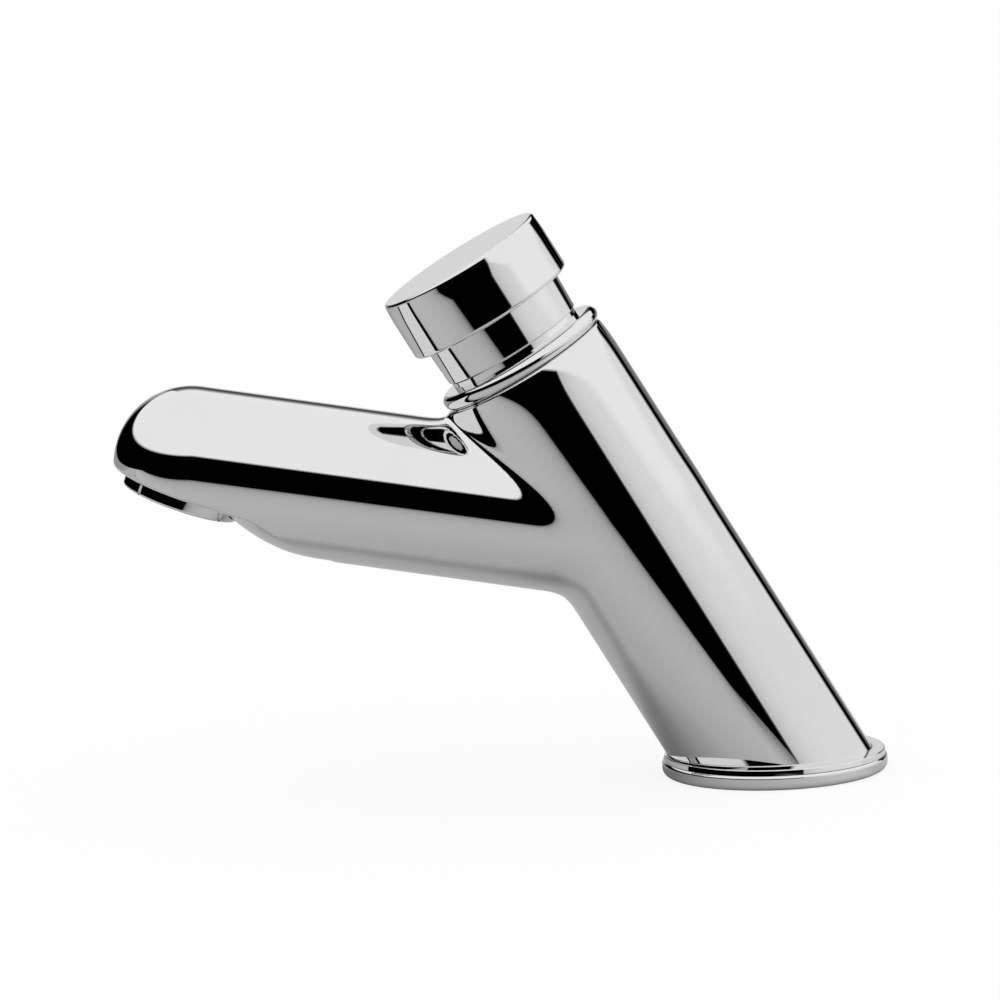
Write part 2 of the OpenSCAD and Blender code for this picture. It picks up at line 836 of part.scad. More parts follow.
module seat_washer() {
    color(black_rubber)
        column_frame(washer_bottom)
            tube(seat_d / 2, stem_tail_d / 2 + stem_gap, washer_h);
}

module washer_carrier() {
    color(brass)
        column_frame(carrier_bottom)
            tube(seat_d / 2, stem_tail_d / 2 + stem_gap, carrier_h);
}

module washer_nut() {
    color(brass)
        column_frame(washer_nut_bottom)
            hex_nut(washer_nut_flats, stem_tail_d / 2 + stem_gap, washer_nut_h);
}

tap_body();
base_ring();
base_seal();
inlet_strainer();
collar_ring();
bonnet();
bonnet_o_ring();
stem_bush();
stem_o_ring();
cartridge_housing();
cartridge_upper_o_ring();
cartridge_lower_o_ring();
cartridge_gasket();
valve_seat();
metering_pin();
aerator_housing();
aerator_insert();
aerator_screen();
aerator_gasket();
return_spring();
push_button();
stem();
lock_nut();
piston();
piston_seal();
piston_clip();
seat_washer();
washer_carrier();
washer_nut();
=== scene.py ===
import math

import bmesh
import bpy
import numpy as np
from mathutils import Matrix, Vector


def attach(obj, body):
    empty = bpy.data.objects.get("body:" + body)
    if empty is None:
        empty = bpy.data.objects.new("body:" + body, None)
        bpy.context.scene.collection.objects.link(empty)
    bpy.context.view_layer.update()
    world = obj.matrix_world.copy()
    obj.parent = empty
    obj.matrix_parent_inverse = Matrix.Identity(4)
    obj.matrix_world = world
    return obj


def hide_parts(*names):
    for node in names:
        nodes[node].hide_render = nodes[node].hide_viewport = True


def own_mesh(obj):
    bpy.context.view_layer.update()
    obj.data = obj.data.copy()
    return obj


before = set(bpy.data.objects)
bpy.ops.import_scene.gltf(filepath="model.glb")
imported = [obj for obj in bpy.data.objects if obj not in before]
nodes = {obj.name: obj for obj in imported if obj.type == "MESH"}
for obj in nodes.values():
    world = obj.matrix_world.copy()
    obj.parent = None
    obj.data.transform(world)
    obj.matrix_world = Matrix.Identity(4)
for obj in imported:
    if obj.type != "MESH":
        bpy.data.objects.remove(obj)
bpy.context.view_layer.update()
MM = 0.001

# Tap body
# One brass casting, ground, polished and chromed: a leaning round column, with a round spout that
# grows out of it through a soft fillet and ends in a ball with a flat seat for the aerator.
LEAN = math.radians(30)
UP = np.array([0.0, 0.0, 1.0])
COLUMN_FOOT = np.array([1.6, 0.0, 0.0])
COLUMN_UP = np.array([-math.sin(LEAN), 0.0, math.cos(LEAN)])
COLUMN_R = 19.7
COLUMN_TOP = 107.5
COLUMN_EDGE = 0.6
NARROWING = 0.6
NARROWING_START = 92.0
FOOT_LEVEL = 2.6
FOOT_EDGE = 0.9
SPOUT_R = 17.3
SPOUT_REACH = 96.7
SPOUT_START = COLUMN_FOOT + 65.6 * COLUMN_UP
SPOUT_RISE = math.radians(10)
SPOUT_OUT = np.array([-math.cos(SPOUT_RISE), 0.0, math.sin(SPOUT_RISE)])
SPOUT_ABOVE = np.array([math.sin(SPOUT_RISE), 0.0, math.cos(SPOUT_RISE)])
NOSE = SPOUT_START + SPOUT_REACH * SPOUT_OUT
OUTLET_TILT = math.radians(21)
OUTLET_OUT = np.array([-math.sin(OUTLET_TILT), 0.0, -math.cos(OUTLET_TILT)])
OUTLET_SEAT = NOSE + 1.0 * SPOUT_OUT - 5.9 * SPOUT_ABOVE
SOLE_R = 42.0
SOLE_CROWN = 32.0
SOLE_START = -33.24
SOLE_EDGE = 1.0
SEAT_EDGE = 0.6
COLLAR_SEAT_R = 20.6
FILLET_REACH = 5.9
FILLET_GROWTH = 1.6
FILLET_MIDDLE = 82.0
FILLET_SPAN = 23.0
FILLET_SIDE_LOSS = 0.4


def inside_both(a, b, edge):
    """Distance to what two solids share, with the edge between them rounded."""
    a, b = a + edge, b + edge
    corner = np.hypot(np.maximum(a, 0), np.maximum(b, 0))
    return np.minimum(np.maximum(a, b), 0) + corner - edge


def inside_either(a, b, fillet):
    """Distance to two solids together, with a fillet in the corner between them."""
    return -inside_both(-a, -b, fillet)


def grown_together(a, b, reach):
    """Distance to two solids that run into each other without a line where the fillet ends."""
    near = np.maximum(reach - np.abs(a - b), 0) / reach
    return np.minimum(a, b) - near ** 3 * reach / 6


def from_column(p):
    """Height along the column and distance from its axis."""
    from_foot = p - COLUMN_FOOT
    along = from_foot @ COLUMN_UP
    return along, np.linalg.norm(from_foot - along[:, None] * COLUMN_UP, axis=1)


def casting(p):
    """Signed distance in millimetres from points to the outside of the casting."""
    along, across = from_column(p)
    to_top = np.clip((along - NARROWING_START) / (COLUMN_TOP - NARROWING_START), 0, 1)
    column = across - COLUMN_R + NARROWING * to_top ** 5
    from_start = p - SPOUT_START
    out = np.clip(from_start @ SPOUT_OUT, 0, SPOUT_REACH)
    spout = np.linalg.norm(from_start - out[:, None] * SPOUT_OUT, axis=1) - SPOUT_R
    from_nose = p - NOSE
    ahead = from_nose @ SPOUT_OUT - SOLE_START
    above = from_nose @ SPOUT_ABOVE - (SOLE_R - SPOUT_R)
    rolled = np.hypot(ahead, above) - (SOLE_R - SOLE_CROWN)
    sole = np.hypot(rolled, p[:, 1]) - SOLE_CROWN
    seat = (p - OUTLET_SEAT) @ OUTLET_OUT
    kept = np.minimum(inside_either(seat, sole, SEAT_EDGE), ahead)
    spout = inside_both(spout, kept, SOLE_EDGE)
    high = np.clip((along - FILLET_MIDDLE) / FILLET_SPAN, -1, 1)
    off_middle = np.clip(np.abs(p[:, 1]) / SPOUT_R, 0, 1)
    reach = (FILLET_REACH + FILLET_GROWTH * high) * (1 - FILLET_SIDE_LOSS * off_middle ** 2)
    whole = grown_together(column, spout, reach)
    under_collar = np.minimum(COLLAR_SEAT_R - across, along - COLUMN_TOP)
    whole = inside_both(whole, under_collar, COLUMN_EDGE)
    return inside_both(whole, FOOT_LEVEL - p[:, 2], FOOT_EDGE)


def steepest(p, step=0.02):
    """Direction in which the distance from the casting grows, at each point."""
    shifts = np.eye(3) * step
    slope = np.stack([casting(p + s) - casting(p - s) for s in shifts], axis=1)
    return slope / np.linalg.norm(slope, axis=1, keepdims=True)


def settle(points, rounds):
    for _ in range(rounds):
        points = points - casting(points)[:, None] * steepest(points)
    return points


def new_piece(name, mesh):
    piece = bpy.data.objects.new(name, mesh)
    bpy.context.scene.collection.objects.link(piece)
    return piece


def work_in_modifiers(piece):
    """Gives the piece the mesh that its modifiers make, and removes them."""
    graph = bpy.context.evaluated_depsgraph_get()
    made = bpy.data.meshes.new_from_object(piece.evaluated_get(graph))
    piece.modifiers.clear()
    old = piece.data
    piece.data = made
    bpy.data.meshes.remove(old)
    return made


def rod(shape, base, way, radius, length, sides=128):
    """Adds a closed round rod to a bmesh; sizes in millimetres."""
    turn = Vector((0, 0, 1)).rotation_difference(Vector(way)).to_matrix().to_4x4()
    middle = Vector(np.array(base) + length / 2 * np.array(way)) * MM
    bmesh.ops.create_cone(
        shape, cap_ends=True, segments=sides, radius1=radius * MM, radius2=radius * MM,
        depth=length * MM, matrix=Matrix.Translation(middle) @ turn,
    )


def cut_level(shape, level):
    """Cuts a closed bmesh off below a level, and closes it again."""
    geometry = shape.verts[:] + shape.edges[:] + shape.faces[:]
    bmesh.ops.bisect_plane(
        shape, geom=geometry, plane_co=(0, 0, level * MM), plane_no=(0, 0, 1), clear_inner=True
    )
    open_edges = [e for e in shape.edges if e.is_boundary]
    bmesh.ops.holes_fill(shape, edges=open_edges, sides=0)


def read_points(mesh):
    points = np.empty(len(mesh.vertices) * 3)
    mesh.vertices.foreach_get("co", points)
    return points.reshape(-1, 3) / MM


def write_points(mesh, points):
    mesh.vertices.foreach_set("co", (points * MM).ravel())
    mesh.update()


VOXEL = 0.8
STUB = 12
rough = bmesh.new()
rod(rough, COLUMN_FOOT - STUB * COLUMN_UP, COLUMN_UP, COLUMN_R, COLUMN_TOP + STUB)
cut_level(rough, FOOT_LEVEL)
rod(rough, SPOUT_START, SPOUT_OUT, SPOUT_R, SPOUT_REACH)
bmesh.ops.create_uvsphere(
    rough, u_segments=96, v_segments=48, radius=SPOUT_R * MM,
    matrix=Matrix.Translation(Vector(NOSE) * MM),
)
rough_mesh = bpy.data.meshes.new("tap_body_casting")
rough.to_mesh(rough_mesh)
rough.free()
tap_body = new_piece("tap_body_casting", rough_mesh)
even = tap_body.modifiers.new("even_quads", "REMESH")
even.mode = "VOXEL"
even.voxel_size = VOXEL * MM
skin = work_in_modifiers(tap_body)

points = read_points(skin)
ends = np.empty(len(skin.edges) * 2, int)
skin.edges.foreach_get("vertices", ends)
ends = ends.reshape(-1, 2)
valence = np.bincount(ends.ravel(), minlength=len(points))[:, None]
points = settle(points, 2)
for _ in range(8):
    total = np.zeros_like(points)
    np.add.at(total, ends[:, 0], points[ends[:, 1]])
    np.add.at(total, ends[:, 1], points[ends[:, 0]])
    points = settle(0.5 * points + 0.5 * total / valence, 1)
write_points(skin, settle(points, 3))


def refine(mesh, reach):
    """Splits the quads near the casting's edges, and settles the new corners on its surface."""
    shape = bmesh.new()
    shape.from_mesh(mesh)
    p = np.array([v.co for v in shape.verts]) / MM
    along, across = from_column(p)
    near_wall = across > COLUMN_R - 2
    top = (np.abs(along - COLUMN_TOP) < reach) & near_wall & (across < COLUMN_R + 4)
    foot = (np.abs(p[:, 2] - FOOT_LEVEL) < reach) & near_wall
    from_seat = p - OUTLET_SEAT
    seat = (np.abs(from_seat @ OUTLET_OUT) < reach) & (np.linalg.norm(from_seat, axis=1) > 12)
    picked = top | foot | (seat & (across > 3 * COLUMN_R))
    shape.verts.index_update()
    edges = [e for e in shape.edges if picked[e.verts[0].index] and picked[e.verts[1].index]]
    bmesh.ops.subdivide_edges(shape, edges=edges, cuts=1, use_grid_fill=True)
    shape.to_mesh(mesh)
    shape.free()
    write_points(mesh, settle(read_points(mesh), 4))


for edge_reach in (2.2, 1.2):
    refine(skin, edge_reach)


def joined(piece, shape, operation):
    """Works a closed bmesh into a piece: UNION or DIFFERENCE."""
    mesh = bpy.data.meshes.new("tool")
    shape.to_mesh(mesh)
    shape.free()
    tool = new_piece("tool", mesh)
    change = piece.modifiers.new("work", "BOOLEAN")
    change.solver = "MANIFOLD"
    change.operation = operation
    change.object = tool
    work_in_modifiers(piece)
    bpy.data.objects.remove(tool)
    bpy.data.meshes.remove(mesh)


def work_rod(piece, operation, base, way, radius, length, level=None):
    shape = bmesh.new()
    rod(shape, base, way, radius, length)
    if level is not None:
        cut_level(shape, level)
    joined(piece, shape, operation)


SPIGOT_R = 16.0
CARTRIDGE_R = 15.5
CARTRIDGE_FLOOR = 46
INLET_R = 9.315
INLET_DEPTH = 13
STRAINER_R = 8.0
STRAINER_TOP = 14.5
CHANNEL_R = 6.5
CHANNEL_LEVEL = 14.4
PORT_R = 4.0
PORT_DROP = 3.3
PORT_LENGTH = 36
CORE_R = 12.5
CORE_START = 34.64
CORE_LENGTH = 42.8
DUCT_R = 4.5
DUCT_RISE = 6.5
OUTLET_R = 9.5
BARREL_HOLE_R = 11.5
BARREL_HOLE_DEPTH = 9
RIM_HOLE_R = 13.7
OPEN_END = 12
core_start = SPOUT_START + CORE_START * SPOUT_OUT
duct_start = NOSE - 20 * SPOUT_OUT + DUCT_RISE * SPOUT_ABOVE
barrel_end = OUTLET_SEAT - BARREL_HOLE_DEPTH * OUTLET_OUT
work_rod(tap_body, "UNION", (0, 0, 0), UP, SPIGOT_R, FOOT_LEVEL + 0.6)
for base, way, radius, length, level in (
    (COLUMN_FOOT + CARTRIDGE_FLOOR * COLUMN_UP, COLUMN_UP, CARTRIDGE_R, 66, None),
    ((0, 0, -1), UP, INLET_R, INLET_DEPTH + 1, None),
    ((0, 0, INLET_DEPTH - 1), UP, STRAINER_R, STRAINER_TOP - INLET_DEPTH + 1, None),
    (COLUMN_FOOT, COLUMN_UP, CHANNEL_R, CARTRIDGE_FLOOR + 1, CHANNEL_LEVEL),
    (SPOUT_START - PORT_DROP * SPOUT_ABOVE, SPOUT_OUT, PORT_R, PORT_LENGTH, None),
    (core_start, SPOUT_OUT, CORE_R, CORE_LENGTH, None),
    (duct_start, SPOUT_OUT, DUCT_R, 21, None),
    (OUTLET_SEAT - 14.5 * OUTLET_OUT, OUTLET_OUT, OUTLET_R, 14, None),
    (barrel_end, OUTLET_OUT, BARREL_HOLE_R, OPEN_END, None),
    (OUTLET_SEAT, OUTLET_OUT, RIM_HOLE_R, OPEN_END, None),
):
    work_rod(tap_body, "DIFFERENCE", base, way, radius, length, level)


def smooth_by_angle(mesh, degrees=30):
    mesh.polygons.foreach_set("use_smooth", np.ones(len(mesh.polygons), bool))
    mesh.set_sharp_from_angle(angle=math.radians(degrees))
    mesh.update()


def corner_normals(mesh):
    normals = np.empty(len(mesh.loops) * 3, np.float32)
    mesh.corner_normals.foreach_get("vector", normals)
    return normals.reshape(-1, 3).astype(float)


casting_mesh = tap_body.data
smooth_by_angle(casting_mesh)
normals = corner_normals(casting_mesh)
points = read_points(casting_mesh)
corner_point = np.empty(len(casting_mesh.loops), int)
casting_mesh.loops.foreach_get("vertex_index", corner_point)
sizes = np.empty(len(casting_mesh.polygons), int)
casting_mesh.polygons.foreach_get("loop_total", sizes)
centres = np.empty(len(sizes) * 3)
casting_mesh.polygons.foreach_get("center", centres)
centres = centres.reshape(-1, 3) / MM
face_normals = np.empty(len(sizes) * 3)
casting_mesh.polygons.foreach_get("normal", face_normals)
facing = (steepest(centres) * face_normals.reshape(-1, 3)).sum(axis=1)
on_skin = np.repeat((np.abs(casting(centres)) < 0.05) & (facing > 0.9), sizes)
normals[on_skin] = steepest(points)[corner_point[on_skin]]
casting_mesh.normals_split_custom_set(normals)


class Link:
    """A value in a node tree. Python's sums and products of values add Math nodes."""

    def __init__(self, tree, socket=None):
        self.tree = tree
        self.socket = socket

    def node(self, kind, settings=None, sockets=None, out=0):
        made = self.tree.nodes.new(kind)
        for key, value in (settings or {}).items():
            if key == "stops":
                ramp = made.color_ramp
                for k, (place, colour) in enumerate(value):
                    stop = ramp.elements[k] if k < 2 else ramp.elements.new(place)
                    stop.position = place
                    stop.color = colour
            else:
                setattr(made, key, value)
        for key, value in (sockets or {}).items():
            for single in value if isinstance(value, list) else [value]:
                if isinstance(single, Link):
                    self.tree.links.new(single.socket, made.inputs[key])
                else:
                    made.inputs[key].default_value = single
        return Link(self.tree, made.outputs[out])

    def math(self, operation, first, second=0.0):
        return self.node("ShaderNodeMath", {"operation": operation}, {0: first, 1: second})

    def __add__(self, other):
        return self.math("ADD", self, other)

    def __radd__(self, other):
        return self.math("ADD", other, self)

    def __sub__(self, other):
        return self.math("SUBTRACT", self, other)

    def __rsub__(self, other):
        return self.math("SUBTRACT", other, self)

    def __mul__(self, other):
        return self.math("MULTIPLY", self, other)

    def __rmul__(self, other):
        return self.math("MULTIPLY", other, self)

    def __truediv__(self, other):
        return self.math("DIVIDE", self, other)

    def __rtruediv__(self, other):
        return self.math("DIVIDE", other, self)

    def mix(self, low, high):
        """The colour that goes from low to high as this value goes from 0 to 1."""
        return self.node(
            "ShaderNodeMix", {"data_type": "RGBA"}, {0: self, 6: low, 7: high}, out=2
        )


def finish(name, sockets, surface):
    """A material whose Principled shader takes plain values and the links that surface() makes."""
    material = bpy.data.materials.new(name)
    material.use_nodes = True
    tree = material.node_tree
    shader = tree.nodes["Principled BSDF"]
    for key, value in sockets.items():
        shader.inputs[key].default_value = value
    start = Link(tree)
    place = start.node("ShaderNodeTexCoord", out=3)
    for key, value in surface(start, place).items():
        tree.links.new(value.socket, shader.inputs[key])
    return material


def noise(start, place, scale, detail=4.0, stretch=(1.0, 1.0, 1.0)):
    spot = start.node("ShaderNodeMapping", None, {"Vector": place, "Scale": stretch})
    return start.node(
        "ShaderNodeTexNoise", None, {"Vector": spot, "Scale": scale, "Detail": detail}
    )


def bump(start, height, strength, depth):
    return start.node(
        "ShaderNodeBump", None, {"Height": height, "Strength": strength, "Distance": depth}
    )


def chrome_surface(start, place):
    smear = noise(start, place, 45.0)
    lines = noise(start, place, 900.0, 2.0, (1.0, 1.0, 0.08))
    return {
        "Base Color": smear.mix((0.76, 0.76, 0.76, 1), (0.79, 0.79, 0.79, 1)),
        "Roughness": 0.012 + smear * 0.022,
        "Normal": bump(start, lines, 0.004, 0.0002),
    }


chrome = finish("polished_chrome", {"Metallic": 1.0}, chrome_surface)


def wear(piece, material, body, node):
    """Gives a piece its material and its body, and hides the CAD node it stands for."""
    piece.data.materials.clear()
    piece.data.materials.append(material)
    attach(piece, body)
    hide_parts(node)


wear(tap_body, chrome, "tap", "tap_body")

# Base ring
# A turned brass ring under the column, chromed: a round bead at the deck, a narrower flat rim on it
# with a hollow edge up to the column, and a groove for the seal below.
BASE_R = 25.0
BASE_TOP = 4.7
BASE_RIM_R = 24.43
BASE_BORE_R = 16.1
BEAD_H = 3.5
GROOVE_INNER_R = 19.2
GROOVE_OUTER_R = 21.8
GROOVE_H = 1.5
ROUND = 256


def outline(corners, steps=8):
    """Samples a closed outline of corners (radius, height, rounding) as segments with exact normals.
    It runs with the metal on its left; each segment is ((r, h), normal, (r, h), normal)."""
    points = [np.array(c[:2], float) for c in corners]
    roundings = [c[2] if len(c) > 2 else 0.0 for c in corners]
    arcs = []
    for i, (here, rounding) in enumerate(zip(points, roundings)):
        before, after = points[i - 1], points[(i + 1) % len(points)]
        back = (before - here) / np.linalg.norm(before - here)
        on = (after - here) / np.linalg.norm(after - here)
        if rounding == 0:
            arcs.append([(here, None)])
            continue
        half = math.acos(np.clip(back @ on, -1, 1)) / 2
        reach = rounding / math.tan(half)
        middle = here + (back + on) / np.linalg.norm(back + on) * rounding / math.sin(half)
        convex = back[0] * on[1] - back[1] * on[0] < 0
        first = (here + reach * back - middle) / rounding
        last = (here + reach * on - middle) / rounding
        sweep = math.acos(np.clip(first @ last, -1, 1))
        arc = []
        for k in range(steps + 1):
            share = k / steps
            way = math.sin((1 - share) * sweep) * first + math.sin(share * sweep) * last
            way = way / math.sin(sweep)
            arc.append((middle + rounding * way, way if convex else -way))
        arcs.append(arc)
    segments = []
    for arc, after in zip(arcs, arcs[1:] + arcs[:1]):
        for a, b in zip(arc, arc[1:]):
            segments.append((a[0], a[1], b[0], b[1]))
        way = after[0][0] - arc[-1][0]
        if np.linalg.norm(way) > 1e-6:
            flat = np.array([way[1], -way[0]]) / np.linalg.norm(way)
            segments.append((arc[-1][0], flat, after[0][0], flat))
    return segments


def turned(name, corners, base, way, sides=ROUND):
    """A piece turned from its half outline, or from an outline for each angle round it.
    Its normals are exact."""
    angles = np.arange(sides) * 2 * math.pi / sides
    if callable(corners):
        shape = np.array([outline(corners(a)) for a in angles])
    else:
        shape = np.array([outline(corners)] * sides)
    outward = np.stack([np.cos(angles), np.sin(angles), np.zeros(sides)], axis=1)
    sideways = np.stack([-np.sin(angles), np.cos(angles), np.zeros(sides)], axis=1)
    starts = shape[:, :, 0]
    change = (np.roll(starts, -1, axis=0) - np.roll(starts, 1, axis=0)) * sides / (4 * math.pi)
    count = shape.shape[1]
    on_axis = [np.all(starts[:, k, 0] < 1e-6) for k in range(count)]
    rows, points, total = [], [], 0
    for k in range(count):
        here = outward * starts[:, k, :1] + UP * starts[:, k, 1:]
        here = here[:1] if on_axis[k] else here
        rows.append(np.arange(total, total + len(here)))
        points.append(here)
        total += len(here)

    def normals_at(k, flat):
        spread = -(change[:, k] * flat).sum(axis=1) / np.maximum(starts[:, k, 0], 1e-6)
        return outward * flat[:, :1] + UP * flat[:, 1:] + sideways * spread[:, None]

    faces, normals = [], []
    for k in range(count):
        after = (k + 1) % count
        if on_axis[k] and on_axis[after]:
            continue
        low, high = rows[k], rows[after]
        low_normals = normals_at(k, shape[:, k, 1])
        high_normals = normals_at(after, shape[:, k, 3])
        for i in range(sides):
            j = (i + 1) % sides
            corner = [(low, low_normals, i), (low, low_normals, j)]
            corner += [(high, high_normals, j), (high, high_normals, i)]
            if on_axis[k]:
                corner = [corner[0], corner[2], corner[3]]
            if on_axis[after]:
                corner = corner[:3]
            faces.append([int(row[at % len(row)]) for row, _, at in corner])
            normals.extend(n[at] for _, n, at in corner)
    turn = np.array(Vector((0, 0, 1)).rotation_difference(Vector(way)).to_matrix())
    points = np.concatenate(points) @ turn.T + np.array(base)
    normals = np.array(normals) / np.linalg.norm(normals, axis=1, keepdims=True)
    mesh = bpy.data.meshes.new(name)
    mesh.from_pydata((points * MM).tolist(), [], faces)
    mesh.polygons.foreach_set("use_smooth", np.ones(len(faces), bool))
    mesh.update()
    mesh.normals_split_custom_set(normals @ turn.T)
    return new_piece(name, mesh)


def column_reach(angle, level, gap):
    """Distance from the middle of the base to just outside the column, at an angle and a level."""
    short_r = COLUMN_R + gap
    long_r = short_r / math.cos(LEAN)
    middle = COLUMN_FOOT[0] - level * math.tan(LEAN)
    a = (math.cos(angle) / long_r) ** 2 + (math.sin(angle) / short_r) ** 2
    b = middle * math.cos(angle) / long_r ** 2
    return (b + math.sqrt(b * b - a * ((middle / long_r) ** 2 - 1))) / a


def base_corners(angle):
    foot = np.array([column_reach(angle, BASE_TOP, 0.02), BASE_TOP])
    wall = np.array([column_reach(angle, BASE_TOP + 0.5, 0.02), BASE_TOP + 0.5]) - foot
    wall = wall / np.linalg.norm(wall)
    reach = min(0.15, 0.8 * (BASE_RIM_R - 0.3 - foot[0]))
    hollow = reach * math.tan(math.acos(wall[0]) / 2)
    lip = foot + (reach + 0.01) * wall
    return [
        (BASE_BORE_R, 0), (GROOVE_INNER_R, 0), (GROOVE_INNER_R, GROOVE_H), (GROOVE_OUTER_R, GROOVE_H),
        (GROOVE_OUTER_R, 0), (BASE_R, 0, 1.6), (BASE_R, BEAD_H, 0.9), (BASE_RIM_R + 0.18, BEAD_H),
        (BASE_RIM_R, BASE_TOP, 0.25), (foot[0], foot[1], hollow), (lip[0], lip[1]),
        (column_reach(angle, FOOT_LEVEL, 0.1), FOOT_LEVEL), (BASE_BORE_R, FOOT_LEVEL),
    ]


base_ring = turned("base_ring_turned", base_corners, (0, 0, 0), UP, 360)
wear(base_ring, chrome, "tap", "base_ring")

# Base seal
# A flat ring of black rubber in the groove under the base ring; the deck presses it home.
def dress(material, *names):
    """Gives CAD pieces that are kept as they are their finish."""
    for name in names:
        nodes[name].data.materials.clear()
        nodes[name].data.materials.append(material)


def rubber_surface(start, place):
    bloom = noise(start, place, 60.0)
    grain = noise(start, place, 2500.0, 3.0)
    return {
        "Base Color": bloom.mix((0.012, 0.012, 0.013, 1), (0.032, 0.032, 0.034, 1)),
        "Roughness": 0.48 + bloom * 0.2,
        "Normal": bump(start, grain, 0.15, 0.0002),
    }


rubber = finish("black_rubber", {"Specular IOR Level": 0.4}, rubber_surface)
dress(rubber, "base_seal")

# Inlet strainer
# A punched disc of stainless steel, pushed in at the inner end of the inlet's thread.
def steel_surface(start, place):
    haze = noise(start, place, 120.0)
    lines = noise(start, place, 1500.0, 2.0, (1.0, 1.0, 0.05))
    return {
        "Base Color": haze.mix((0.50, 0.50, 0.51, 1), (0.60, 0.60, 0.61, 1)),
        "Roughness": 0.20 + lines * 0.14,
        "Normal": bump(start, lines, 0.05, 0.0002),
    }


steel = finish("stainless_steel", {"Metallic": 1.0}, steel_surface)
dress(steel, "inlet_strainer")

# Cartridge
# A moulded white housing that slides into the column on a flat gasket, sealed by two O-rings; a
# brass seat is pressed into it, and a fine steel pin stands in its web to meter the water.
def plastic_surface(start, place):
    tone = noise(start, place, 30.0)
    grain = noise(start, place, 1800.0, 2.0)
    return {
        "Base Color": tone.mix((0.78, 0.78, 0.74, 1), (0.86, 0.86, 0.83, 1)),
        "Roughness": 0.34 + grain * 0.14,
        "Normal": bump(start, grain, 0.06, 0.0002),
    }


def brass_surface(start, place):
    tarnish = noise(start, place, 80.0)
    lines = noise(start, place, 1200.0, 2.0, (1.0, 1.0, 0.06))
    return {
        "Base Color": tarnish.mix((0.56, 0.38, 0.13, 1), (0.70, 0.51, 0.21, 1)),
        "Roughness": 0.18 + tarnish * 0.16,
        "Normal": bump(start, lines, 0.06, 0.0002),
    }


plastic = finish("white_acetal", {"Specular IOR Level": 0.5}, plastic_surface)
brass = finish("turned_brass", {"Metallic": 1.0}, brass_surface)
dress(rubber, "cartridge_gasket", "cartridge_lower_o_ring", "cartridge_upper_o_ring")
dress(plastic, "cartridge_housing")
dress(brass, "valve_seat")
dress(steel, "metering_pin")

# Stem and piston
# A turned steel stem with a moulded piston held by a clip, and at its foot the rubber washer that
# closes the seat, on a brass carrier with a brass nut.
dress(steel, "stem", "piston_clip")
dress(plastic, "piston")
dress(rubber, "piston_seal", "seat_washer")
dress(brass, "washer_carrier", "washer_nut")

# Collar ring
# A round chromed ring that covers the joint between column and neck, clamped by the bonnet.
COLLAR_R = 19.75
COLLAR_TOP = 111.0
COLLAR_EDGE = 1.74
collar_ring = turned(
    "collar_ring_turned",
    [
        (CARTRIDGE_R, COLUMN_TOP), (COLLAR_R, COLUMN_TOP, COLLAR_EDGE),
        (COLLAR_R, COLLAR_TOP, COLLAR_EDGE), (CARTRIDGE_R, COLLAR_TOP),
    ],
    COLUMN_FOOT, COLUMN_UP,
)
wear(collar_ring, chrome, "tap", "collar_ring")

# Bonnet
# The chromed neck, turned from brass bar: it screws into the column, and the button slides over it.
# Its floor holds the stem's bush and O-ring, and an O-ring in its groove seals the column.
BONNET_FOOT = 97.5
BONNET_FLOOR = 105.0
PLUG_R = 15.4
RING_GROOVE_R = 13.5
GLAND_R = 6.0
GLAND_TOP = 103.6
STEM_HOLE_R = 4.35
STEP_R = 15.8
STEP_TOP = 112.8
NECK_FOOT_R = 16.25
NECK_R = 16.6
NECK_TOP = 124.0
NECK_BORE_R = 13.4
bonnet = turned(
    "bonnet_turned",
    [
        (GLAND_R, BONNET_FOOT), (PLUG_R, BONNET_FOOT, 0.4), (PLUG_R, 100.1), (RING_GROOVE_R, 100.1),
        (RING_GROOVE_R, 102.4), (PLUG_R, 102.4), (PLUG_R, COLLAR_TOP), (STEP_R, COLLAR_TOP),
        (STEP_R, STEP_TOP, 0.2), (NECK_FOOT_R, STEP_TOP, 0.3), (NECK_R, 121.0), (NECK_R, NECK_TOP, 0.4),
        (NECK_BORE_R, NECK_TOP, 0.3), (NECK_BORE_R, BONNET_FLOOR, 0.6), (STEM_HOLE_R, BONNET_FLOOR),
        (STEM_HOLE_R, GLAND_TOP), (GLAND_R, GLAND_TOP),
    ],
    COLUMN_FOOT, COLUMN_UP,
)
wear(bonnet, chrome, "tap", "bonnet")
dress(plastic, "stem_bush")
dress(rubber, "bonnet_o_ring", "stem_o_ring")

# Return spring
# A coil of round steel wire with closed ends, between the bonnet's floor and the button's ceiling.
# It lifts the button and shortens with it in the real tap; here it is one fixed coil on the tap.
COIL_R = 9.5
COIL_WIRE = 1.6
COIL_TURNS = 7
COIL_HEIGHT = 25.4
COIL_START = 0.9
END_PITCH = 2.1


def geometry_tree(name, inputs):
    """A Geometry Nodes tree with named inputs of (name, kind), and links from them."""
    tree = bpy.data.node_groups.new(name, "GeometryNodeTree")
    for label, kind in inputs:
        tree.interface.new_socket(label, in_out="INPUT", socket_type=kind)
    tree.interface.new_socket("Geometry", in_out="OUTPUT", socket_type="NodeSocketGeometry")
    entry = tree.nodes.new("NodeGroupInput")
    return Link(tree), {label: Link(tree, entry.outputs[label]) for label, _ in inputs}


